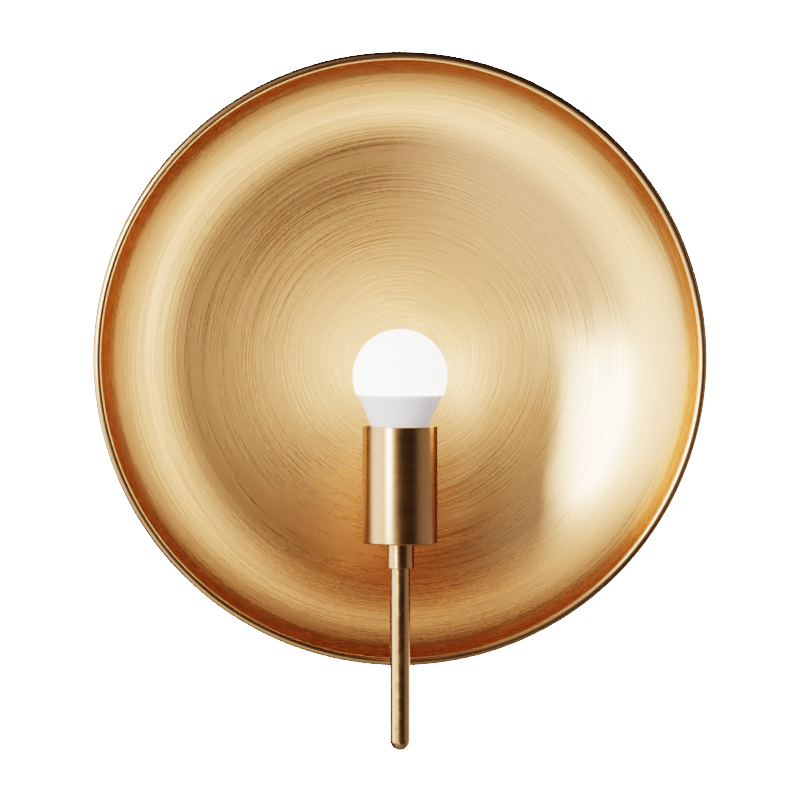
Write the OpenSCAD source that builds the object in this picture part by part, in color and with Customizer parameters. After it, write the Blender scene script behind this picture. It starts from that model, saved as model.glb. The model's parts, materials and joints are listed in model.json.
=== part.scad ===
// Wall sconce: a spun brass dish reflector behind a globe bulb that stands in a
// cup on a swinging arm.
//
// The origin is on the wall plane, on the axis of the dish. +X is to the right,
// +Z is up, and the sconce stands out from the wall towards -Y.

/* [Dish] */
// Diameter over the rolled edge of the dish
dish_d = 355.6; // [300:1:430]
// Thickness of the dish's sheet
dish_wall = 1.2; // [0.8:0.1:1.5]
// Radius of the flat pad at the middle of the dish
dish_pad_r = 16; // [14:0.5:18]
// Slope of the bowl where it meets the shoulder, in degrees
bowl_slope = 18; // [14:1:22]
// Slope of the shoulder where it meets the side, in degrees
shoulder_slope = 45; // [38:1:50]
// Slope of the side where it meets the rolled edge, in degrees
side_slope = 70; // [62:1:74]
// Radius of the shoulder's curve
shoulder_r = 100; // [70:1:110]
// Radius of the side's curve
side_r = 32; // [20:1:40]
// Radius of the rolled edge
bead_r = 2.8; // [2.4:0.1:3.4]

/* [Canopy] */
// Diameter of the canopy pan
canopy_d = 120; // [115:1:140]
// Depth of the canopy pan
canopy_depth = 24; // [24:0.5:32]
// Thickness of the canopy's sheet
canopy_wall = 1.2; // [0.8:0.1:1.4]
// Radius of the canopy's front edge
canopy_edge_r = 4; // [2:0.5:4.5]
// Thickness of the ring between canopy and dish
spacer_t = 3; // [2:0.5:8]

/* [Crossbar] */
// Length of the strap
strap_length = 106; // [104:1:108]
// Width of the strap
strap_width = 20; // [18:1:26]
// Thickness of the strap
strap_t = 2.5; // [2:0.1:3.5]
// Distance between the two wall-box screws
box_screw_spacing = 88.9; // [86:0.1:89]
// Width of a wall-box screw slot
box_slot_w = 4.6; // [4.4:0.1:5.4]
// Length of a wall-box screw slot, end to end
box_slot_l = 12; // [8:0.5:13]
// Distance of the earthing screw from the middle
ground_screw_x = 22; // [18:0.5:28]

/* [Arm] */
// Diameter of the arm tube
arm_d = 10; // [9:0.1:11]
// Bore of the arm tube
arm_bore_d = 7.6; // [6:0.1:8]
// Bend radius of the arm tube's middle line
arm_bend_r = 20; // [14:1:26]
// Gap between the dish's lowest point and the arm tube
arm_drop = 12; // [8:1:30]
// Diameter of the stem
stem_d = 11.5; // [11:0.1:13]
// Gap between the stem and the front of the dish's edge
stem_reach = 48; // [42:1:70]
// Length of the stem below the arm tube's middle line
stem_tail = 26.4; // [12:0.2:60]

/* [Swivel] */
// Diameter of the swivel barrel
barrel_d = 21.6; // [21.6:0.1:22.4]
// Length of the swivel barrel below the canopy
barrel_length = 24; // [16:1:34]
// Diameter of the spindle where it turns in the barrel
spindle_d = 10; // [9.4:0.1:10.4]
// Bore of the spindle, for the wires
spindle_bore_d = 6.5; // [5:0.1:7]
// Swing of the arm to each side, in degrees
swing = 50; // [30:1:50]

/* [Cup] */
// Diameter of the cup
cup_d = 42.4; // [40.6:0.1:50]
// Height of the cup
cup_height = 66.3; // [65:0.1:80]
// Thickness of the cup's sheet
cup_wall = 1.2; // [0.8:0.1:1.6]
// Height of the cup's rim, measured down from the dish's axis
cup_rim_drop = 36.9; // [20:0.1:60]
// Diameter of the collar under the cup
collar_d = 16; // [15:0.1:22]
// Length of the collar
collar_length = 14.3; // [12:0.1:24]

/* [Bulb] */
// Diameter of the bulb's dome
dome_d = 53.7; // [50:0.1:64]
// Thickness of the dome's wall
dome_wall = 1.5; // [1:0.1:2]
// Height of the dome's middle above the cup's rim
dome_rise = 28.5; // [26:0.1:36]
// Height of the dome's lower edge above the cup's rim
dome_edge_rise = 18; // [15:0.1:20]
// Diameter over the bulb's screw base
base_d = 26.3; // [25.6:0.1:26.3]

/* [Wiring] */
// Diameter of a wire over its insulation
wire_d = 1.9; // [1.4:0.1:2]
// Distance between the two wires
wire_spacing = 2.2; // [2.1:0.1:2.3]

/* [Hidden] */
$fn = 96;

// Lengths that come out of the dish's curves are rounded, so that runs of tube and wire meet
function to_hundredth(length) = round(length * 100) / 100;

// Clearances
fit_gap = 0.05;       // between a shaft and its hole
face_gap = 0.05;      // between two faces that slide on each other
body_gap = 0.3;       // between pieces that move past each other
hole_gap = 0.2;       // round a screw or neck in a clearance hole

// Threaded rod and its nuts
rod_r = 4.85;
rod_bore_r = 3.4;
rod_hole_r = rod_r + fit_gap;
locknut_af = 14;
locknut_t = 3;
washer_t = 1;
washer_r = 9;

// Canopy and dish, outwards from the wall
canopy_r = canopy_d / 2;
canopy_inner_r = canopy_r - canopy_wall;
dish_back = canopy_depth + spacer_t;
dish_front = dish_back + dish_wall;
cap_nut_out = dish_front + washer_t;
cap_nut_r = 8;
cap_nut_h = 9;
rod_front = cap_nut_out + 5;

// Dish section: bowl, shoulder, side and rolled edge, each an arc that runs on from the last.
// The radii are worked out inwards from the rolled edge, and the heights outwards from the bowl.
bead_mid_r = dish_d / 2 - bead_r;
side_end_r = bead_mid_r - bead_r * sin(side_slope);
side_start_r = side_end_r - side_r * (sin(side_slope) - sin(shoulder_slope));
bowl_end_r = side_start_r - shoulder_r * (sin(shoulder_slope) - sin(bowl_slope));
bowl_r = bowl_end_r / sin(bowl_slope);
pad_slope = asin(dish_pad_r / bowl_r);
bowl_mid_z = dish_wall + bowl_r * cos(pad_slope);
shoulder_mid_r = (bowl_r - shoulder_r) * sin(bowl_slope);
shoulder_mid_z = bowl_mid_z - (bowl_r - shoulder_r) * cos(bowl_slope);
side_mid_r = shoulder_mid_r + (shoulder_r - side_r) * sin(shoulder_slope);
side_mid_z = shoulder_mid_z - (shoulder_r - side_r) * cos(shoulder_slope);
bead_mid_z = side_mid_z - (side_r + bead_r) * cos(side_slope);
dish_depth = bead_mid_z + bead_r;
rim_out = dish_back + dish_depth;

// Swivel, along a vertical axis
pivot_out = canopy_depth / 2;
barrel_r = barrel_d / 2;
barrel_top = -canopy_r;
barrel_bottom = barrel_top - barrel_length;
neck_r = 6;
saddle_r = 9;
saddle_top = 2 - canopy_inner_r;
housing_nut_af = 15;
housing_nut_t = 4;
neck_top = saddle_top + housing_nut_t + 1.8;
spindle_r = spindle_d / 2;
spindle_bore_r = spindle_bore_d / 2;
journal_r = spindle_r + fit_gap;
friction_t = 0.9;
flange_top = barrel_bottom - face_gap - friction_t;
flange_t = 3;
flange_bottom = flange_top - flange_t;
boss_r = 7.5;
boss_length = 12;
spring_h = 1.1;
spring_bottom = neck_top + face_gap;
spindle_washer_bottom = spring_bottom + spring_h;
spindle_nut_bottom = spindle_washer_bottom + washer_t;
spindle_nut_t = 3.5;
spindle_top = spindle_nut_bottom + spindle_nut_t + 1;
stop_pin_r = 0.9;
slot_half_w = stop_pin_r + body_gap + 0.1;
stop_pin_mid = barrel_r - slot_half_w - 1.1;

// Arm and stem
arm_r = arm_d / 2;
arm_bore_r = arm_bore_d / 2;
arm_top = flange_bottom - 3;
arm_level = -dish_d / 2 - arm_drop - arm_r;
stem_r = stem_d / 2;
stem_out = to_hundredth(rim_out + stem_reach + stem_r);
stem_bottom = arm_level - stem_tail;

// Cup, collar and lampholder, upwards from the cup's floor
cup_r = cup_d / 2;
cup_top = -cup_rim_drop;
cup_bottom = cup_top - cup_height;
cup_edge_r = 1.5;
collar_r = collar_d / 2;
collar_bottom = cup_bottom - collar_length;
stem_top = collar_bottom + 6.5;
cup_floor = cup_bottom + cup_wall;
cup_nut_bottom = cup_floor + washer_t;
bushing_bottom = cup_nut_bottom + locknut_t + 0.5;
bushing_collar_h = 6;
bushing_plate_t = 1.5;
bushing_collar_r = 8;
holder_bottom = bushing_bottom + bushing_collar_h + bushing_plate_t;
socket_rod_top = holder_bottom - 1;
holder_r = 17;
terminal_room = 8;
holder_floor_t = 6;
holder_floor_bottom = holder_bottom + terminal_room;
holder_floor_top = holder_floor_bottom + holder_floor_t;
shell_wall = 0.5;
shell_bore_r = base_d / 2 + body_gap;
shell_r = shell_bore_r + shell_wall;
shell_ring_hole_r = 9;
shell_length = 29;
holder_top = holder_floor_top + shell_length + 2.5;

// Terminals
plate_t = 1;
plate_w = 6;
plate_bottom = holder_floor_bottom - plate_t;
terminal_x = 8;
terminal_screw_r = 1.5;
terminal_head_r = 2.9;
terminal_head_t = 2;
wire_r = wire_d / 2;
wire_x = wire_spacing / 2;
terminal_wire_z = plate_bottom - wire_r - fit_gap;
terminal_head_top = terminal_wire_z - wire_r - fit_gap;
rivet_r = 1.2;
rivet_head_r = 1.7;
rivet_head_t = 0.5;
neutral_rivet_x = 11.5;
rivet_xs = [0, -neutral_rivet_x];

// Centre contact
contact_t = 0.5;
contact_w = 5;
contact_rise = 3.4;
contact_fold_x = 7.2;

// Bulb, downwards from the cup's rim
dome_r = dome_d / 2;
dome_mid = cup_top + dome_rise;
dome_edge = cup_top + dome_edge_rise;
dome_edge_r = sqrt(pow(dome_r, 2) - pow(dome_rise - dome_edge_rise, 2));
housing_top_r = dome_edge_r - 0.8;
housing_rim_r = 16.3;
housing_foot_r = 14;
housing_foot = cup_top - 5.4;
housing_bottom = cup_top - 6.3;
housing_wall = 1.5;
lip_r = dome_edge_r - dome_wall - 0.35;
lip_h = 1.5;
base_r = base_d / 2;
base_ridge = 0.6;
base_inner_r = base_r - base_ridge - 0.45;
plug_r = base_inner_r - fit_gap;
plug_bore_r = plug_r - 1.2;
plug_bottom = housing_bottom - 7;
tip_bottom = holder_floor_top + contact_rise + body_gap;
tip_r = 4.5;
tip_t = 1.5;
insulator_h = 3.8;
base_bottom = tip_bottom + tip_t + insulator_h;
thread_pitch = 3.63;
thread_top = housing_bottom - 2.2;
led_plate_t = 1.2;
led_plate_top = dome_edge - 0.4;
led_plate_r = housing_top_r - housing_wall - 0.6;
led_size = 3;
led_t = 0.8;
board_w = 18;
board_t = 1.2;
board_top = led_plate_top - led_plate_t - 3;
board_bottom = plug_bottom - 8;
capacitor_r = 4;
capacitor_h = 14;

// Wire runs inside the canopy
connector_x = 20;
connector_r = 4.6;
connector_h = 18;
connector_z = 12;
canopy_wire_bend_r = 5;
canopy_wire_start = spindle_top + body_gap;
stem_wire_bend_r = 5;
terminal_wire_bend_r = 4;

// Points on an arc about [x, y], from angle a0 to angle a1
function arc(x, y, r, a0, a1, steps) =
    [for (i = [0 : steps]) let (a = a0 + (a1 - a0) * i / steps) [x + r * cos(a), y + r * sin(a)]];

// The dish's surface at a distance t behind its front face
function dish_line(t) = concat(
    arc(0, bowl_mid_z, bowl_r + t, pad_slope - 90, bowl_slope - 90, 20),
    arc(shoulder_mid_r, shoulder_mid_z, shoulder_r + t, bowl_slope - 90, shoulder_slope - 90, 18),
    arc(side_mid_r, side_mid_z, side_r + t, shoulder_slope - 90, side_slope - 90, 10),
    arc(bead_mid_r, bead_mid_z, bead_r - t, side_slope + 90, -110, 30)
);

// Radius of the bulb's screw base at height z: rounded ridges, one to each pitch
function thread_r(z) = base_r - base_ridge * (1 - cos(360 * (z - base_bottom) / thread_pitch)) / 2;

function reversed(list) = [for (i = [len(list) - 1 : -1 : 0]) list[i]];

// The inside of the canopy's wall, from its open edge in to its face
function canopy_inside() = concat(
    [[canopy_inner_r, 0]],
    arc(canopy_r - canopy_edge_r, canopy_depth - canopy_edge_r, canopy_edge_r - canopy_wall, 0, 90, 12)
);

// Puts a piece drawn upwards from z = 0 on the dish's axis, standing out from the wall
module from_wall() {
    rotate([90, 0, 0]) children();
}

module on_pivot() {
    translate([0, -pivot_out, 0]) children();
}

module on_stem() {
    translate([0, -stem_out, 0]) children();
}

module rod(r, bottom, top) {
    translate([0, 0, bottom]) cylinder(r = r, h = top - bottom);
}

module ring(r, hole_r, bottom, top) {
    difference() {
        rod(r, bottom, top);
        rod(hole_r, bottom - 1, top + 1);
    }
}

module hex_nut(across_flats, hole_r, bottom, top) {
    difference() {
        translate([0, 0, bottom]) cylinder(r = across_flats / sqrt(3), h = top - bottom, $fn = 6);
        rod(hole_r, bottom - 1, top + 1);
    }
}

// Washer with teeth cut into its outer edge
module tooth_washer(r, hole_r, bottom, top, teeth = 10) {
    difference() {
        ring(r, hole_r, bottom, top);
        for (i = [0 : teeth - 1])
            rotate([0, 0, 360 * i / teeth])
                translate([r - 1.6, -0.7, bottom - 1]) cube([3, 1.4, top - bottom + 2]);
    }
}

// Quarter turn of a round section, from the height of the centre to the side of it.
// The bend's centre is at the origin and the section is r from it.
module quarter_bend(bend_r, side) {
    rotate_extrude(angle = 90) translate([bend_r, side]) children();
}

// ---- pieces on the wall ----

module mounting_crossbar() {
    slot_straight = box_slot_l - box_slot_w;
    color("lightgray") from_wall() difference() {
        intersection() {
            translate([-strap_length / 2, -strap_width / 2, 0]) cube([strap_length, strap_width, strap_t]);
            cylinder(d = strap_length, h = strap_t);
        }
        rod(rod_hole_r, -1, strap_t + 1);
        translate([ground_screw_x, 0, 0]) rod(2, -1, strap_t + 1);
        for (side = [-1, 1]) translate([side * box_screw_spacing / 2, 0, -1]) {
            for (end = [-1, 1]) translate([end * slot_straight / 2, 0, 0])
                cylinder(d = box_slot_w, h = strap_t + 2);
            translate([-slot_straight / 2, -box_slot_w / 2, 0])
                cube([slot_straight, box_slot_w, strap_t + 2]);
        }
    }
}

module ground_screw() {
    head_t = 2.6;
    color("seagreen") from_wall() translate([ground_screw_x, 0, 0]) difference() {
        union() {
            rod(2 - fit_gap, 0.4, strap_t + 1);
            translate([0, 0, strap_t]) cylinder(r = 4.6, h = head_t, $fn = 6);
        }
        translate([-5, -0.5, strap_t + head_t - 1.2]) cube([10, 1, 2]);
    }
}

module centre_nipple() {
    color("silver") from_wall() ring(rod_r, rod_bore_r, 0.5, rod_front);
}

module crossbar_locknut() {
    color("lightgray") from_wall() hex_nut(locknut_af, rod_hole_r, strap_t, strap_t + locknut_t);
}

module canopy_pan() {
    edge = canopy_r - canopy_edge_r;
    face = canopy_depth - canopy_edge_r;
    section = concat(
        [[rod_hole_r + hole_gap, canopy_depth]],
        arc(edge, face, canopy_edge_r, 90, 0, 12),
        [[canopy_r, 0]],
        canopy_inside(),
        [[rod_hole_r + hole_gap, canopy_depth - canopy_wall]]
    );
    color("darkgoldenrod") difference() {
        from_wall() rotate_extrude() polygon(section);
        on_pivot() rod(neck_r + hole_gap, -canopy_r - 5, -canopy_r / 2);
    }
}

module dish_spacer() {
    color("goldenrod") from_wall() ring(dish_pad_r - 0.5, rod_hole_r + hole_gap, canopy_depth, dish_back);
}

module dish_reflector() {
    section = concat(
        [[rod_hole_r + hole_gap, dish_wall]],
        dish_line(0),
        reversed(dish_line(dish_wall)),
        [[dish_pad_r, 0], [rod_hole_r + hole_gap, 0]]
    );
    color("tan") from_wall() translate([0, 0, dish_back]) rotate_extrude($fn = 180) polygon(section);
}

module dish_lock_washer() {
    color("silver") from_wall() tooth_washer(washer_r, rod_hole_r + hole_gap, dish_front, cap_nut_out);
}

module cap_nut() {
    crown = 5;
    section = concat(
        [[0, cap_nut_h]],
        arc(cap_nut_r - crown, cap_nut_h - crown, crown, 90, 0, 12),
        [[cap_nut_r, 0], [rod_hole_r, 0], [rod_hole_r, 6.2], [0, 6.2]]
    );
    color("goldenrod") from_wall() translate([0, 0, cap_nut_out]) rotate_extrude() polygon(section);
}

module swivel_housing() {
    color("goldenrod") on_pivot() difference() {
        union() {
            difference() {
                rod(barrel_r, barrel_bottom, barrel_top + 2);
                translate([0, pivot_out + 1, 0]) rotate([90, 0, 0])
                    cylinder(r = canopy_r + fit_gap, h = canopy_depth + barrel_d);
            }
            rod(neck_r, barrel_top - 3, neck_top);
        }
        rod(journal_r, barrel_bottom - 1, neck_top + 1);
        translate([0, -stop_pin_mid, 0]) rod(stop_pin_r + fit_gap, barrel_bottom - 1, barrel_bottom + 6);
    }
}

module saddle_washer() {
    hollow = concat([[0, 0]], canopy_inside(), [[0, canopy_depth - canopy_wall]]);
    color("silver") intersection() {
        on_pivot() ring(saddle_r, neck_r + hole_gap, -canopy_r, saddle_top);
        from_wall() rotate_extrude($fn = 360) polygon(hollow);
    }
}

module housing_nut() {
    color("lightgray") on_pivot()
        hex_nut(housing_nut_af, neck_r + fit_gap, saddle_top, saddle_top + housing_nut_t);
}

module stop_pin() {
    color("dimgray") on_pivot() translate([0, -stop_pin_mid, 0])
        rod(stop_pin_r, flange_bottom + 0.4, barrel_bottom + 5.8);
}

// Twist-on connectors, mouth downwards, one at the end of each lead
module wire_connectors() {
    section = [
        [wire_r + fit_gap, 0], [connector_r, 0], [connector_r - 0.6, 6], [connector_r - 1.8, connector_h - 1.5],
        [connector_r - 2.8, connector_h], [0, connector_h], [0, 12], [wire_r + fit_gap, 12]
    ];
    color("orange") on_pivot() for (side = [-1, 1])
        translate([side * connector_x, 0, connector_z]) rotate_extrude() polygon(section);
}

// One lead on the right-hand side: up, out to the side, and up into its connector
module canopy_wire() {
    run_z = canopy_wire_start + canopy_wire_bend_r + 2;
    translate([wire_x, 0, 0]) rod(wire_r, canopy_wire_start, run_z - canopy_wire_bend_r);
    translate([wire_x + canopy_wire_bend_r, 0, run_z - canopy_wire_bend_r]) rotate([90, 0, 0])
        rotate([0, 0, 90]) quarter_bend(canopy_wire_bend_r, 0) circle(r = wire_r);
    translate([wire_x + canopy_wire_bend_r, 0, run_z]) rotate([0, 90, 0])
        cylinder(r = wire_r, h = connector_x - wire_x - 2 * canopy_wire_bend_r);
    translate([connector_x - canopy_wire_bend_r, 0, run_z + canopy_wire_bend_r]) rotate([90, 0, 0])
        rotate([0, 0, -90]) quarter_bend(canopy_wire_bend_r, 0) circle(r = wire_r);
    translate([connector_x, 0, 0]) rod(wire_r, run_z + canopy_wire_bend_r, connector_z + 11);
}

module canopy_wires() {
    color("whitesmoke") on_pivot() {
        canopy_wire();
        mirror([1, 0, 0]) canopy_wire();
    }
}

// ---- pieces on the arm ----

// Slot in the spindle's flange that the stop pin runs in, drawn about the pivot
module stop_slot() {
    translate([0, 0, flange_bottom - 1]) {
        rotate([0, 0, -90 - swing]) rotate_extrude(angle = 2 * swing)
            translate([stop_pin_mid - slot_half_w, 0]) square([2 * slot_half_w, flange_t + 2]);
        for (side = [-1, 1]) rotate([0, 0, -90 + side * swing])
            translate([stop_pin_mid, 0, 0]) cylinder(r = slot_half_w, h = flange_t + 2);
    }
}

module pivot_spindle() {
    color("goldenrod") on_pivot() difference() {
        union() {
            rod(spindle_r, flange_bottom, spindle_top);
            rod(barrel_r, flange_bottom, flange_top);
            rod(boss_r, flange_bottom - boss_length, flange_bottom);
        }
        rod(spindle_bore_r, flange_bottom - boss_length, spindle_top + 1);
        rod(arm_r + fit_gap, flange_bottom - boss_length - 1, arm_top);
        stop_slot();
    }
}

module friction_washer() {
    color("white") on_pivot()
        ring(stop_pin_mid - slot_half_w - 0.3, journal_r + fit_gap, flange_top, flange_top + friction_t);
}

module disc_spring() {
    spring_t = 0.6;
    section = [
        [journal_r + fit_gap, spring_h - spring_t], [journal_r + fit_gap, spring_h],
        [saddle_r - 1, spring_t], [saddle_r - 1, 0]
    ];
    color("silver") on_pivot() translate([0, 0, spring_bottom]) rotate_extrude() polygon(section);
}

module spindle_washer() {
    color("silver") on_pivot()
        ring(saddle_r - 1, journal_r + fit_gap, spindle_washer_bottom, spindle_nut_bottom);
}

module spindle_nut() {
    color("lightgray") on_pivot()
        hex_nut(locknut_af, spindle_r + fit_gap, spindle_nut_bottom, spindle_nut_bottom + spindle_nut_t);
}

// Path of the arm, for the tube, its bore and its wires: down from the spindle,
// round the bend and out to the stem. The section is drawn by the caller.
module arm_path(r, side, top, far_end) {
    translate([side, 0, 0]) rod(r, arm_level + arm_bend_r, top);
    translate([0, -arm_bend_r, arm_level + arm_bend_r]) rotate([0, 90, 0])
        quarter_bend(arm_bend_r, side) circle(r = r);
    translate([side, -arm_bend_r, arm_level]) rotate([90, 0, 0])
        cylinder(r = r, h = far_end - arm_bend_r);
}

module arm_tube() {
    reach = stem_out - pivot_out;
    color("tan") difference() {
        on_pivot() arm_path(arm_r, 0, arm_top, reach);
        on_pivot() arm_path(arm_bore_r, 0, arm_top + 1, reach);
        on_stem() rod(stem_r + fit_gap, arm_level - arm_d, arm_level + arm_d);
    }
}

module stem() {
    color("tan") on_stem() difference() {
        union() {
            rod(stem_r, stem_bottom + stem_r, stem_top);
            translate([0, 0, stem_bottom + stem_r]) sphere(r = stem_r);
        }
        rod(arm_bore_r, arm_level - arm_r, stem_top + 1);
        translate([0, 0, arm_level]) rotate([-90, 0, 0]) cylinder(r = arm_bore_r, h = stem_d);
    }
}

module stem_collar() {
    chamfer = 0.4;
    section = [
        [stem_r + fit_gap, collar_bottom], [collar_r - chamfer, collar_bottom],
        [collar_r, collar_bottom + chamfer], [collar_r, cup_bottom], [rod_hole_r, cup_bottom],
        [rod_hole_r, stem_top], [stem_r + fit_gap, stem_top]
    ];
    color("tan") on_stem() rotate_extrude() polygon(section);
}

module socket_nipple() {
    color("silver") on_stem() ring(rod_r, rod_bore_r, stem_top + 0.2, socket_rod_top);
}

module socket_cup() {
    inner_r = cup_r - cup_wall;
    section = concat(
        [[rod_hole_r + hole_gap, cup_bottom]],
        arc(cup_r - cup_edge_r, cup_bottom + cup_edge_r, cup_edge_r, -90, 0, 8),
        [[cup_r, cup_top], [inner_r, cup_top], [inner_r, cup_floor], [rod_hole_r + hole_gap, cup_floor]]
    );
    color("tan") on_stem() rotate_extrude() polygon(section);
}

module cup_lock_washer() {
    color("silver") on_stem() tooth_washer(washer_r, rod_hole_r + hole_gap, cup_floor, cup_nut_bottom);
}

module cup_locknut() {
    color("lightgray") on_stem()
        hex_nut(locknut_af, rod_hole_r, cup_nut_bottom, cup_nut_bottom + locknut_t);
}

module set_screw_hole(r) {
    translate([rod_r, 0, bushing_bottom + bushing_collar_h / 2]) rotate([0, 90, 0])
        cylinder(r = r, h = bushing_collar_r - rod_r + 1);
}

module socket_bushing() {
    color("lightgray") on_stem() difference() {
        union() {
            rod(bushing_collar_r, bushing_bottom, holder_bottom);
            rod(holder_r, holder_bottom - bushing_plate_t, holder_bottom);
        }
        rod(rod_hole_r, bushing_bottom - 1, holder_bottom + 1);
        set_screw_hole(1.5 + fit_gap);
    }
}

module bushing_set_screw() {
    color("dimgray") on_stem() intersection() {
        set_screw_hole(1.5);
        ring(bushing_collar_r, rod_hole_r, bushing_bottom, holder_bottom);
    }
}

module lampholder_body() {
    color("ivory") on_stem() difference() {
        rod(holder_r, holder_bottom, holder_top);
        rod(shell_r + fit_gap, holder_floor_top, holder_top + 1);
        rod(shell_r + fit_gap, holder_bottom - 1, holder_floor_bottom);
        for (x = rivet_xs) translate([x, 0, 0]) rod(rivet_r + fit_gap, holder_bottom, holder_top);
        for (side = [-1, 1]) translate([side * terminal_x, 0, 0])
            rod(terminal_screw_r + hole_gap, holder_floor_bottom - 1, holder_floor_bottom + 4.5);
    }
}

module screw_shell() {
    color("goldenrod") on_stem() difference() {
        rod(shell_r, holder_floor_top, holder_floor_top + shell_length);
        rod(shell_bore_r, holder_floor_top + shell_wall, holder_top + 1);
        rod(shell_ring_hole_r, holder_floor_top - 1, holder_top);
        translate([-neutral_rivet_x, 0, 0]) rod(rivet_r + fit_gap, holder_floor_top - 1, holder_top);
    }
}

// Spring strip folded back over its rivet, so that its free end meets the bulb's tip
module centre_contact() {
    section = [
        [-3, 0], [contact_fold_x, 0], [contact_fold_x, contact_t + 0.2], [0, contact_rise],
        [-2, contact_rise], [-2, contact_rise - contact_t], [-0.2, contact_rise - contact_t],
        [contact_fold_x - 1.4, contact_t + 0.2], [contact_fold_x - 1.4, contact_t], [-3, contact_t]
    ];
    color("goldenrod") on_stem() translate([0, 0, holder_floor_top]) difference() {
        translate([0, contact_w / 2, 0]) rotate([90, 0, 0]) linear_extrude(contact_w) polygon(section);
        rod(rivet_r + fit_gap, -1, contact_t + 0.1);
    }
}

module contact_rivets() {
    seat = holder_floor_top + contact_t;
    color("silver") on_stem() for (x = rivet_xs) translate([x, 0, 0]) {
        rod(rivet_r, plate_bottom - rivet_head_t, seat + rivet_head_t);
        rod(rivet_head_r, seat, seat + rivet_head_t);
        rod(rivet_head_r, plate_bottom - rivet_head_t, plate_bottom);
    }
}

module terminal_plate(from_x, to_x, rivet_x, screw_x) {
    difference() {
        translate([from_x, -plate_w / 2, plate_bottom]) cube([to_x - from_x, plate_w, plate_t]);
        translate([rivet_x, 0, 0]) rod(rivet_r + fit_gap, plate_bottom - 1, holder_floor_bottom + 1);
        translate([screw_x, 0, 0])
            rod(terminal_screw_r + fit_gap, plate_bottom - 1, holder_floor_bottom + 1);
    }
}

module terminal_plates() {
    color("goldenrod") on_stem() {
        terminal_plate(-2.4, terminal_x + 3, 0, terminal_x);
        terminal_plate(-neutral_rivet_x - 1.9, -5.4, -neutral_rivet_x, -terminal_x);
    }
}

module terminal_screws() {
    color("gold") on_stem() for (side = [-1, 1]) translate([side * terminal_x, 0, 0]) difference() {
        union() {
            rod(terminal_screw_r, terminal_head_top, holder_floor_bottom + 4);
            rod(terminal_head_r, terminal_head_top - terminal_head_t, terminal_head_top);
        }
        translate([-terminal_head_r, -0.4, terminal_head_top - terminal_head_t - 1])
            cube([2 * terminal_head_r, 0.8, 1.9]);
    }
}

// One lead on the side given: spindle, arm, stem, socket nipple and terminal screw,
// drawn about the pivot's axis
module lamp_wire(side) {
    reach = stem_out - pivot_out;
    elbow = stem_wire_bend_r;
    turn = terminal_wire_bend_r;
    up_end = terminal_wire_z - turn;
    arm_path(wire_r, side * wire_x, spindle_top, reach - elbow);
    translate([side * wire_x, elbow - reach, arm_level + elbow]) mirror([0, 1, 0]) rotate([0, 90, 0])
        quarter_bend(elbow, 0) circle(r = wire_r);
    translate([side * wire_x, -reach, 0]) rod(wire_r, arm_level + elbow, up_end);
    translate([side * (wire_x + turn), -reach, up_end]) rotate([90, 0, 0])
        rotate([0, 0, side > 0 ? 90 : 0]) quarter_bend(turn, 0) circle(r = wire_r);
    translate([side * (wire_x + turn), -reach, terminal_wire_z]) rotate([0, side * 90, 0])
        cylinder(r = wire_r, h = terminal_x - terminal_screw_r - fit_gap - wire_x - turn);
}

module lamp_wires() {
    color("whitesmoke") on_pivot() for (side = [-1, 1]) lamp_wire(side);
}

// ---- pieces of the bulb ----

module diffuser_dome() {
    lower = asin((dome_mid - dome_edge) / dome_r);
    inner_r = dome_r - dome_wall;
    inner_lower = asin((dome_mid - dome_edge) / inner_r);
    section = concat(
        arc(0, dome_mid, dome_r, -lower, 90, 40),
        arc(0, dome_mid, inner_r, 90, -inner_lower, 40)
    );
    color("white") on_stem() rotate_extrude() polygon(section);
}

module bulb_housing() {
    section = [
        [lip_r, dome_edge + lip_h], [lip_r, dome_edge], [housing_top_r, dome_edge],
        [housing_rim_r, cup_top], [housing_foot_r, housing_foot], [housing_foot_r - 0.6, housing_bottom],
        [plug_r, housing_bottom], [plug_r, plug_bottom], [plug_bore_r, plug_bottom],
        [plug_bore_r, housing_foot], [housing_rim_r - housing_wall, cup_top],
        [housing_top_r - housing_wall, dome_edge - led_plate_t - 1], [lip_r - 1, dome_edge - led_plate_t - 1],
        [lip_r - 1, dome_edge + lip_h]
    ];
    color("white") on_stem() rotate_extrude() polygon(section);
}

module base_shell() {
    steps = 48;
    outside = [for (i = [0 : steps]) let (z = base_bottom + (thread_top - base_bottom) * i / steps)
        [thread_r(z), z]];
    section = concat(
        outside,
        [[base_r - base_ridge / 2, housing_bottom], [base_inner_r, housing_bottom], [base_inner_r, base_bottom]]
    );
    color("silver") on_stem() rotate_extrude() polygon(section);
}

module base_insulator() {
    color("dimgray") on_stem() translate([0, 0, base_bottom - insulator_h])
        cylinder(r1 = tip_r + 1, r2 = base_inner_r, h = insulator_h);
}

module tip_contact() {
    color("silver") on_stem() rod(tip_r, tip_bottom, tip_bottom + tip_t);
}

module led_plate() {
    color("lightgray") on_stem() ring(led_plate_r, 3, led_plate_top - led_plate_t, led_plate_top);
}

module led_ring(count, ring_r) {
    for (i = [0 : count - 1]) rotate([0, 0, 360 * i / count])
        translate([ring_r - led_size / 2, -led_size / 2, led_plate_top]) cube([led_size, led_size, led_t]);
}

module led_chips() {
    color("khaki") on_stem() {
        led_ring(12, 15);
        led_ring(6, 8);
    }
}

module driver_board() {
    color("darkgreen") on_stem() translate([-board_w / 2, -board_t / 2, board_bottom])
        cube([board_w, board_t, board_top - board_bottom]);
}

module driver_capacitor() {
    color("black") on_stem() translate([0, -board_t / 2 - capacitor_r - 0.1, 0])
        rod(capacitor_r, board_top - capacitor_h - 8, board_top - 8);
}

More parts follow.
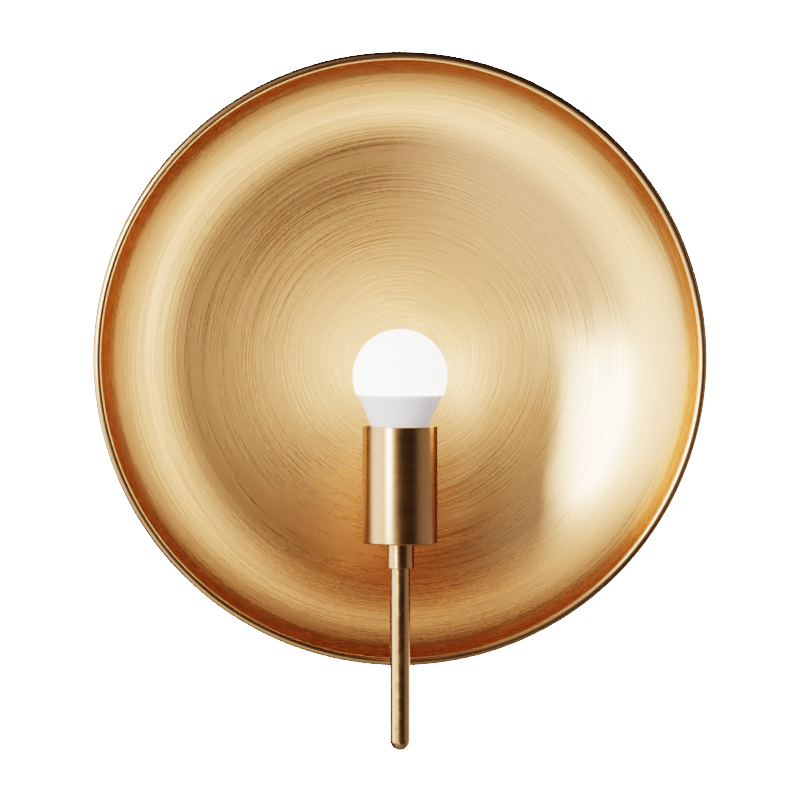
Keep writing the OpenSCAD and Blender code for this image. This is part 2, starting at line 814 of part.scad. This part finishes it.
mounting_crossbar();
ground_screw();
centre_nipple();
crossbar_locknut();
canopy_pan();
dish_spacer();
dish_reflector();
dish_lock_washer();
cap_nut();
swivel_housing();
saddle_washer();
housing_nut();
stop_pin();
wire_connectors();
canopy_wires();
pivot_spindle();
friction_washer();
disc_spring();
spindle_washer();
spindle_nut();
arm_tube();
stem();
stem_collar();
socket_nipple();
socket_cup();
cup_lock_washer();
cup_locknut();
socket_bushing();
bushing_set_screw();
lampholder_body();
screw_shell();
centre_contact();
contact_rivets();
terminal_plates();
terminal_screws();
lamp_wires();
diffuser_dome();
bulb_housing();
base_shell();
base_insulator();
tip_contact();
led_plate();
led_chips();
driver_board();
driver_capacitor();
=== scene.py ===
import json
import math

import bpy
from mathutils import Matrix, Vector


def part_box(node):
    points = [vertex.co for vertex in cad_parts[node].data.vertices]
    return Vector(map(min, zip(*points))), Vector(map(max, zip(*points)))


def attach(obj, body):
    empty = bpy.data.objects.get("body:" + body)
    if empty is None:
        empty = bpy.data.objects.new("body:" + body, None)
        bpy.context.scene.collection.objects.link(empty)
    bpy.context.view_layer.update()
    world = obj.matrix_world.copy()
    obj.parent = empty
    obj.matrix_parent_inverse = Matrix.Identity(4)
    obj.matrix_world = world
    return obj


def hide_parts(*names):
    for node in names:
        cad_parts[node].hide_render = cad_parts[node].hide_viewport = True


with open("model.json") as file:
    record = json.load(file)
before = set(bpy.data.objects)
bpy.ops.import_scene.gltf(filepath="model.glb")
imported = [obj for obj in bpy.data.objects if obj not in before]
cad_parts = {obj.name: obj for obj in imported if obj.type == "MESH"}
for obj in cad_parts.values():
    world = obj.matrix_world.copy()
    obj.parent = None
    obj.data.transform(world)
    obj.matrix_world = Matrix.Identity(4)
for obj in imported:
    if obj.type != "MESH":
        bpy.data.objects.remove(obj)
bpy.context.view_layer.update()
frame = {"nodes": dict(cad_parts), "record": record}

MM = 0.001


# ---------------------------------------------------------------- places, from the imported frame

def centre(node):
    """The middle of a CAD node's box."""
    low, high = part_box(node)
    return (Vector(low) + Vector(high)) / 2


dish_low, dish_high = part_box("dish_reflector")
cup_low, cup_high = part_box("socket_cup")
stem_low, stem_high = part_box("stem")
dome_low, dome_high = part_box("diffuser_dome")

dish_r = (dish_high[2] - dish_low[2]) / 2
rim_out = -dish_low[1]
dish_back = -dish_high[1]
stem_at = centre("stem")
stem_r = (stem_high[1] - stem_low[1]) / 2


# ---------------------------------------------------------------- mesh helpers

def arc(mid_r, mid_h, radius, start, end, steps):
    """Points of an arc in a section, with angles in degrees."""
    angles = [math.radians(start + (end - start) * i / steps) for i in range(steps + 1)]
    return [(mid_r + radius * math.cos(a), mid_h + radius * math.sin(a)) for a in angles]


# edges that turn by more than this, in degrees, stay crisp
SMOOTH_ANGLE = 30


def mesh_object(name, verts, faces, material):
    """A shaded mesh object of one material."""
    mesh = bpy.data.meshes.new(name)
    mesh.from_pydata(verts, [], faces)
    mesh.validate()
    mesh.polygons.foreach_set("use_smooth", [True] * len(mesh.polygons))
    mesh.set_sharp_from_angle(angle=math.radians(SMOOTH_ANGLE))
    mesh.materials.append(material)
    obj = bpy.data.objects.new(name, mesh)
    bpy.context.collection.objects.link(obj)
    return obj


ON_AXIS = 1e-7


def revolve(name, section, material, at, axis="Z", segments=192):
    """Turns a closed section of (radius, height) points about an axis through at. On axis Z the
    height goes up; on axis Y it goes out from the wall, towards -Y."""
    verts = []
    rings = []
    for radius, height in section:
        ring = []
        # a point on the axis is one vertex, not a ring
        steps = 1 if radius < ON_AXIS else segments
        for i in range(steps):
            a = 2 * math.pi * i / segments
            x, y = radius * math.cos(a), radius * math.sin(a)
            ring.append(len(verts))
            verts.append((at[0] + x, at[1] + y, at[2] + height) if axis == "Z"
                         else (at[0] + x, at[1] - height, at[2] + y))
        rings.append(ring)
    faces = []
    for k, low in enumerate(rings):
        high = rings[(k + 1) % len(rings)]
        if len(low) == 1 and len(high) == 1:
            continue
        for i in range(segments):
            j = (i + 1) % segments
            corners = [low[i % len(low)], low[j % len(low)],
                       high[j % len(high)], high[i % len(high)]]
            faces.append(list(dict.fromkeys(corners)))
    return mesh_object(name, verts, faces, material)


# ---------------------------------------------------------------- materials

class Nodes:
    """A small helper for building one material's node tree."""

    def __init__(self, name):
        self.material = bpy.data.materials.new(name)
        self.material.use_nodes = True
        self.tree = self.material.node_tree
        self.shader = self.tree.nodes["Principled BSDF"]

    def add(self, kind, **settings):
        node = self.tree.nodes.new(kind)
        for key, value in settings.items():
            if key in node.inputs:
                node.inputs[key].default_value = value
            else:
                setattr(node, key, value)
        return node

    def link(self, source, target):
        self.tree.links.new(source, target)

    def math(self, operation, a, b=None):
        node = self.add("ShaderNodeMath", operation=operation)
        for socket, value in zip(node.inputs, (a, b)):
            if value is None:
                continue
            if isinstance(value, (int, float)):
                socket.default_value = value
            else:
                self.link(value, socket)
        return node.outputs[0]

    def remap(self, value, low, high, from_low=0.0, from_high=1.0):
        node = self.add("ShaderNodeMapRange")
        node.inputs["From Min"].default_value = from_low
        node.inputs["From Max"].default_value = from_high
        node.inputs["To Min"].default_value = low
        node.inputs["To Max"].default_value = high
        self.link(value, node.inputs["Value"])
        return node.outputs[0]

    def mix_color(self, factor, a, b):
        node = self.add("ShaderNodeMix", data_type="RGBA")
        self.link(factor, node.inputs["Factor"])
        node.inputs["A"].default_value = (*a, 1)
        node.inputs["B"].default_value = (*b, 1)
        return node.outputs["Result"]

    def position(self, at):
        """The point's place from at, in metres, as a vector socket."""
        coords = self.add("ShaderNodeTexCoord")
        shift = self.add("ShaderNodeVectorMath", operation="SUBTRACT")
        shift.inputs[1].default_value = at
        self.link(coords.outputs["Object"], shift.inputs[0])
        return shift.outputs[0]

    def noise(self, vector, scale, detail=2.0, roughness=0.5):
        node = self.add("ShaderNodeTexNoise", Scale=scale, Detail=detail, Roughness=roughness)
        self.link(vector, node.inputs["Vector"])
        return node.outputs["Fac"]

    def bump(self, height, strength, distance):
        node = self.add("ShaderNodeBump", Strength=strength, Distance=distance)
        self.link(height, node.inputs["Height"])
        self.link(node.outputs["Normal"], self.shader.inputs["Normal"])


def lathe_vector(m, at, axis, across, along):
    """Texture coordinates for marks that run round an axis: fine across the marks, long along
    them. across is in waves a metre and along in waves a turn."""
    split = m.add("ShaderNodeSeparateXYZ")
    m.link(m.position(at), split.inputs[0])
    x, y, z = split.outputs
    u, v, w = (x, z, y) if axis == "Y" else (x, y, z)
    radius = m.math("SQRT", m.math("ADD", m.math("MULTIPLY", u, u), m.math("MULTIPLY", v, v)))
    depth = m.math("MULTIPLY", radius if axis == "Y" else w, across)
    # the point's direction round the axis, as two coordinates, so that there is no seam
    cosine = m.math("MULTIPLY", m.math("DIVIDE", u, radius), along)
    sine = m.math("MULTIPLY", m.math("DIVIDE", v, radius), along)
    join = m.add("ShaderNodeCombineXYZ")
    m.link(depth, join.inputs[0])
    m.link(cosine, join.inputs[1])
    m.link(sine, join.inputs[2])
    return join.outputs[0]


BRASS = (0.87, 0.555, 0.305)
BRASS_DEEP = (0.78, 0.445, 0.215)
DOME_GLOW = (1.0, 0.89, 0.80, 1)
DOME_STRENGTH = 2.6


def brushed_brass(name, at, axis, roughness, pitch=1.3 * MM, along=1.2, bump=0.5, contrast=0.25,
                  anisotropy=0.6):
    """Lacquered brass brushed round an axis. pitch is the usual distance between two brush
    lines. A second set of lines, about a centre a little to one side, crosses the first."""
    m = Nodes(name)
    aside = Vector(at) + Vector((6, 0, -4) if axis == "Y" else (0, 0, 0)) * MM
    lines = m.noise(lathe_vector(m, at, axis, 1 / pitch, along), 1.0, 0.0)
    fine = m.noise(lathe_vector(m, at, axis, 2.3 / pitch, along * 1.3), 1.0, 0.0)
    crossing = m.noise(lathe_vector(m, aside, axis, 1.4 / pitch, along * 1.6), 1.0, 0.0)
    bands = m.noise(lathe_vector(m, at, axis, 0.07 / pitch, along * 0.7), 1.0, 2.0)
    clouds = m.noise(m.position(at), 18.0, 3.0)
    pair = m.math("ADD", m.math("MULTIPLY", lines, 0.4), m.math("MULTIPLY", fine, 0.3))
    marks = m.math("ADD", pair, m.math("MULTIPLY", crossing, 0.3))
    tone = m.math("ADD", m.math("MULTIPLY", marks, 0.8), m.math("MULTIPLY", clouds, 0.2))
    m.link(m.mix_color(m.remap(tone, 0.5 - contrast, 0.5 + contrast, 0.3, 0.7), BRASS_DEEP, BRASS),
           m.shader.inputs["Base Color"])
    rough = m.math("ADD", m.remap(marks, -0.05, 0.05, 0.3, 0.7),
                   m.remap(bands, roughness - 0.03, roughness + 0.03, 0.3, 0.7))
    m.link(rough, m.shader.inputs["Roughness"])
    m.shader.inputs["Metallic"].default_value = 1.0
    m.shader.inputs["Anisotropic"].default_value = anisotropy
    m.shader.inputs["Anisotropic Rotation"].default_value = 0.25
    tangent = m.add("ShaderNodeTangent", direction_type="RADIAL", axis=axis)
    m.link(tangent.outputs[0], m.shader.inputs["Tangent"])
    m.bump(marks, bump, 0.0002)
    return m.material


def opal_dome():
    """The lit diffuser: an even white glow, with faint clouds in its colour and its gloss."""
    m = Nodes("opal_diffuser")
    cloud = m.noise(m.position(centre("diffuser_dome")), 60.0)
    m.link(m.mix_color(cloud, (0.94, 0.93, 0.90), (0.97, 0.96, 0.94)), m.shader.inputs["Base Color"])
    m.link(m.remap(cloud, 0.30, 0.36), m.shader.inputs["Roughness"])
    m.shader.inputs["Emission Color"].default_value = DOME_GLOW
    m.shader.inputs["Emission Strength"].default_value = DOME_STRENGTH
    return m.material


PLASTIC_GRAIN = 900.0


def plastic(name, color, roughness, glow=0.0):
    """A moulded, painted or glazed surface. glow is a painted glow: an even light that the surface
    gives off of its own.
    """
    m = Nodes(name)
    m.shader.inputs["Emission Color"].default_value = (1.0, 0.97, 0.94, 1)
    # painted glow: the surface gives off this much light of its own
    m.shader.inputs["Emission Strength"].default_value = glow
    dark = tuple(c * 0.94 for c in color)
    cloud = m.noise(m.position((0, 0, 0)), PLASTIC_GRAIN, 2.0)
    m.link(m.mix_color(cloud, dark, color), m.shader.inputs["Base Color"])
    m.link(m.remap(cloud, roughness - 0.04, roughness + 0.04), m.shader.inputs["Roughness"])
    m.bump(cloud, 0.08, 0.00005)
    return m.material


def plated_steel(name, color, roughness):
    """Bare or plated metal, with faint clouds in its colour and its gloss."""
    m = Nodes(name)
    cloud = m.noise(m.position((0, 0, 0)), 160.0, 4.0)
    dark = tuple(c * 0.8 for c in color)
    m.link(m.mix_color(m.remap(cloud, 0, 1, 0.3, 0.7), dark, color), m.shader.inputs["Base Color"])
    m.link(m.remap(cloud, roughness - 0.08, roughness + 0.08, 0.3, 0.7), m.shader.inputs["Roughness"])
    m.shader.inputs["Metallic"].default_value = 1.0
    m.bump(cloud, 0.1, 0.0001)
    return m.material


# ---------------------------------------------------------------- the dish

dish_wall = 1.2 * MM
bead_r = 2.8 * MM
pad_r = 16 * MM
hole_r = 5.1 * MM
shoulder_r = 100 * MM
side_r = 32 * MM
bowl_slope, shoulder_slope, side_slope = (math.radians(a) for a in (18, 45, 70))


def dish_section():
    """The closed section of the spun sheet, from the hole over the front to the rolled edge and
    back along the rear, as (radius, height out from the back of the pad)."""
    bead_mid_r = dish_r - bead_r
    side_end_r = bead_mid_r - bead_r * math.sin(side_slope)
    side_start_r = side_end_r - side_r * (math.sin(side_slope) - math.sin(shoulder_slope))
    bowl_end_r = side_start_r - shoulder_r * (math.sin(shoulder_slope) - math.sin(bowl_slope))
    bowl_r = bowl_end_r / math.sin(bowl_slope)
    pad_slope = math.asin(pad_r / bowl_r)
    bowl_mid_h = dish_wall + bowl_r * math.cos(pad_slope)
    shoulder_mid_r = (bowl_r - shoulder_r) * math.sin(bowl_slope)
    shoulder_mid_h = bowl_mid_h - (bowl_r - shoulder_r) * math.cos(bowl_slope)
    side_mid_r = shoulder_mid_r + (shoulder_r - side_r) * math.sin(shoulder_slope)
    side_mid_h = shoulder_mid_h - (shoulder_r - side_r) * math.cos(shoulder_slope)
    bead_mid_h = side_mid_h - (side_r + bead_r) * math.cos(side_slope)

    def surface(t):
        a, b, c, d = (math.degrees(s) for s in (pad_slope, bowl_slope, shoulder_slope, side_slope))
        return (arc(0, bowl_mid_h, bowl_r + t, a - 90, b - 90, 60)
                + arc(shoulder_mid_r, shoulder_mid_h, shoulder_r + t, b - 90, c - 90, 50)[1:]
                + arc(side_mid_r, side_mid_h, side_r + t, c - 90, d - 90, 24)[1:]
                + arc(bead_mid_r, bead_mid_h, bead_r - t, d + 90, -110, 40))

    front = [(hole_r, dish_wall)] + surface(0)
    back = surface(dish_wall) + [(pad_r, 0)]
    return front + back[:-1][::-1] + [(pad_r, 0), (hole_r, 0)]


def build_dish(material):
    dish = revolve("spun_dish", dish_section(), material, at=(0, -dish_back, 0), axis="Y",
                   segments=360)
    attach(dish, "wall_unit")
    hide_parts("dish_reflector")


# ---------------------------------------------------------------- cup, collar, stem and arm

def build_cup(material):
    at = (centre("socket_cup").x, centre("socket_cup").y, 0)
    radius = (cup_high[0] - cup_low[0]) / 2
    wall = 1.2 * MM
    edge = 0.9 * MM
    lip = 0.25 * MM
    low, high = cup_low[2], cup_high[2]
    section = ([(hole_r, low)]
               + arc(radius - edge, low + edge, edge, -90, 0, 10)
               + arc(radius - lip, high - lip, lip, 0, 90, 4)
               + arc(radius - wall + lip, high - lip, lip, 90, 180, 4)
               + [(radius - wall, low + wall), (hole_r, low + wall)])
    cup = revolve("brushed_cup", section, material, at=at)
    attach(cup, "swing_arm")
    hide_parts("socket_cup")


def build_stem(material):
    at = (stem_at.x, stem_at.y, 0)
    bore = 3.8 * MM
    bore_depth = 84 * MM
    bottom, top = stem_low[2], stem_high[2]
    section = ([(bore, top - bore_depth), (0, top - bore_depth)]
               + arc(0, bottom + stem_r, stem_r, -90, 0, 24)
               + [(stem_r, top), (bore, top)])
    stem = revolve("round_stem", section, material, at=at, segments=96)
    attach(stem, "swing_arm")
    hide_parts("stem")


def build_bulb(material):
    at = (centre("diffuser_dome").x, centre("diffuser_dome").y, 0)
    radius = (dome_high[0] - dome_low[0]) / 2
    mid = dome_high[2] - radius
    wall = 1.5 * MM
    edge = dome_low[2]
    lower = math.degrees(math.asin((mid - edge) / radius))
    inner_lower = math.degrees(math.asin((mid - edge) / (radius - wall)))
    section = (arc(0, mid, radius, -lower, 90, 64)
               + arc(0, mid, radius - wall, 90, -inner_lower, 48))
    dome = revolve("opal_dome", section, material, at=at, segments=160)
    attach(dome, "bulb")
    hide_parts("diffuser_dome")


def make_materials():
    """One material for each of the record's slots."""
    dish_back_mid = (0, -dish_back, 0)
    return {
        "brass_spun": brushed_brass("spun", dish_back_mid, "Y", roughness=0.28, bump=0.3),
        "brass_brushed": brushed_brass("brushed", centre("socket_cup"), "Z", roughness=0.34,
                                       pitch=0.5 * MM, bump=0.3),
        "brass_drawn": brushed_brass("drawn", stem_at, "Z", roughness=0.26, pitch=6 * MM, bump=0.02,
                                     anisotropy=0.0),
        "brass_turned": brushed_brass("turned", stem_at, "Z", roughness=0.3, pitch=0.5 * MM, bump=0.1),
        "brass_satin": brushed_brass("satin", (0, 0, 0), "Y", roughness=0.36, pitch=0.8 * MM, bump=0.3),
        "opal_diffuser": opal_dome(),
        "plated_steel": plated_steel("zinc_plate", (0.72, 0.72, 0.70), 0.35),
        "dark_steel": plated_steel("dark_plate", (0.12, 0.12, 0.13), 0.45),
        "contact_brass": plated_steel("contact", (0.80, 0.62, 0.30), 0.25),
        "bare_aluminium": plated_steel("aluminium", (0.80, 0.80, 0.81), 0.4),
        "green_paint": plastic("paint", (0.05, 0.35, 0.13), 0.35),
        "connector_plastic": plastic("connector", (0.85, 0.42, 0.06), 0.45),
        "wire_insulation": plastic("insulation", (0.88, 0.87, 0.83), 0.4),
        "white_nylon": plastic("nylon", (0.90, 0.89, 0.85), 0.5),
        "porcelain": plastic("glazed_porcelain", (0.92, 0.90, 0.85), 0.15),
        # the housing gets a faint painted glow, light it gives off though it is no lamp
        "white_plastic": plastic("housing_plastic", (0.93, 0.90, 0.86), 0.32, glow=0.3),
        "black_glass": plastic("insulator_glass", (0.03, 0.03, 0.035), 0.12),
        "led_phosphor": plastic("phosphor", (0.90, 0.80, 0.30), 0.5),
        "circuit_board": plastic("board", (0.04, 0.22, 0.10), 0.3),
    }


def finish_cad_nodes(materials):
    """Gives every carried-over CAD node the material of its slot."""
    slots = {s["node"]: s["material_slot"] for s in frame["record"]["subparts"]}
    for name, obj in frame["nodes"].items():
        material = materials[slots[name]]
        if not obj.material_slots:
            obj.data.materials.append(material)
        for slot in obj.material_slots:
            slot.material = material


# ---------------------------------------------------------------- camera, light and floor

def build_camera():
    """A camera a little above the dish's middle that looks slightly down. field_width is what it
    sees across at the dish's edge, in metres."""
    distance = 2.9
    height = 0.068
    field_width = 0.4624
    sensor_width = 36
    pitch = math.radians(1.808)
    camera = bpy.data.objects.new("camera", bpy.data.cameras.new("camera"))
    camera.data.sensor_width = sensor_width
    camera.data.lens = sensor_width * distance / field_width
    camera.data.clip_end = 100
    camera.location = (0, -rim_out - distance, height)
    camera.rotation_euler = (math.pi / 2 - pitch, 0, 0)
    bpy.context.collection.objects.link(camera)
    bpy.context.scene.camera = camera


def direction(azimuth, elevation):
    """A unit vector from the sconce. Azimuth is from the room side, positive to the right."""
    a, e = math.radians(azimuth), math.radians(elevation)
    return Vector((math.sin(a) * math.cos(e), -math.cos(a) * math.cos(e), math.sin(e)))


def softbox(name, azimuth, elevation, distance, width, height, power, color):
    """An area light that faces a point a little below the bulb."""
    light = bpy.data.lights.new(name, "AREA")
    light.shape = "RECTANGLE"
    light.size, light.size_y = width, height
    light.energy = power
    light.color = color
    obj = bpy.data.objects.new(name, light)
    target = Vector((0, stem_at.y, -20 * MM))
    away = direction(azimuth, elevation)
    obj.location = target + away * distance
    obj.rotation_euler = away.to_track_quat("Z", "Y").to_euler()
    bpy.context.collection.objects.link(obj)


# each soft glow: azimuth, elevation, angle from its middle to the end of its full part, angle from
# its middle to its outer end, strength
GLOWS = {
    "left": (-75, 0, 10, 35, 1.5),
    "below": (-30, -30, 10, 30, 0.8),
    "above": (-30, 30, 10, 30, 0.3),
    "right": (90, 0, 10, 50, 0.2),
    "behind": (150, -20, 10, 40, 1.0),
}
LIGHT_COLOR = (1.0, 1.0, 1.1)
AMBIENT = (0.05, 0.05, 0.05)
BACKDROP = 16.0


def build_world():
    """White behind the object, and a soft studio round it: brightest on the left, darker on the
    right."""
    world = bpy.data.worlds.new("studio")
    bpy.context.scene.world = world
    world.use_nodes = True
    tree = world.node_tree
    tree.nodes.clear()
    link = tree.links.new
    out = tree.nodes.new("ShaderNodeOutputWorld")
    mix = tree.nodes.new("ShaderNodeMixShader")
    path = tree.nodes.new("ShaderNodeLightPath")
    white = tree.nodes.new("ShaderNodeBackground")
    white.inputs["Color"].default_value = (1, 1, 1, 1)
    white.inputs["Strength"].default_value = BACKDROP
    room = tree.nodes.new("ShaderNodeBackground")
    coords = tree.nodes.new("ShaderNodeTexCoord")
    total = AMBIENT
    for name, (azimuth, elevation, full, end, strength) in GLOWS.items():
        dot = tree.nodes.new("ShaderNodeVectorMath")
        dot.operation = "DOT_PRODUCT"
        dot.inputs[1].default_value = direction(azimuth, elevation)
        link(coords.outputs["Generated"], dot.inputs[0])
        ramp = tree.nodes.new("ShaderNodeMapRange")
        ramp.name = "glow_" + name
        ramp.interpolation_type = "SMOOTHSTEP"
        ramp.inputs["From Min"].default_value = math.cos(math.radians(end))
        ramp.inputs["From Max"].default_value = math.cos(math.radians(full))
        link(dot.outputs["Value"], ramp.inputs["Value"])
        add = tree.nodes.new("ShaderNodeVectorMath")
        add.name = "add_" + name
        add.operation = "MULTIPLY_ADD"
        add.inputs[1].default_value = [strength * c for c in LIGHT_COLOR]
        link(ramp.outputs[0], add.inputs[0])
        if isinstance(total, tuple):
            add.inputs[2].default_value = total
        else:
            link(total, add.inputs[2])
        total = add.outputs[0]
    link(total, room.inputs["Color"])
    link(path.outputs["Is Camera Ray"], mix.inputs[0])
    link(room.outputs[0], mix.inputs[1])
    link(white.outputs[0], mix.inputs[2])
    link(mix.outputs[0], out.inputs[0])


def set_display():
    """A film-like curve with strong contrast."""
    view = bpy.context.scene.view_settings
    view.view_transform = "Filmic"
    view.look = "Very High Contrast"


def build_floor():
    """A pale floor well below the sconce, out of the camera's view."""
    m = Nodes("pale_floor")
    cloud = m.noise(m.position((0, 0, 0)), 3.0)
    pale, paler = (0.78, 0.78, 0.77), (0.82, 0.82, 0.81)
    m.link(m.mix_color(cloud, pale, paler), m.shader.inputs["Base Color"])
    m.link(m.remap(cloud, 0.6, 0.7), m.shader.inputs["Roughness"])
    size, level = 1.4, -1.5
    corners = [(-size, -size, level), (size, -size, level),
               (size, size, level), (-size, size, level)]
    floor = mesh_object("floor", corners, [(0, 1, 2, 3)], m.material)


build_camera()
build_world()
set_display()
build_floor()
softbox("key", -35, 10, 2.2, 0.3, 0.9, 25, (1.0, 1.0, 1.05))

materials = make_materials()
build_dish(materials["brass_spun"])
build_cup(materials["brass_brushed"])
build_stem(materials["brass_drawn"])
build_bulb(materials["opal_diffuser"])
finish_cad_nodes(materials)
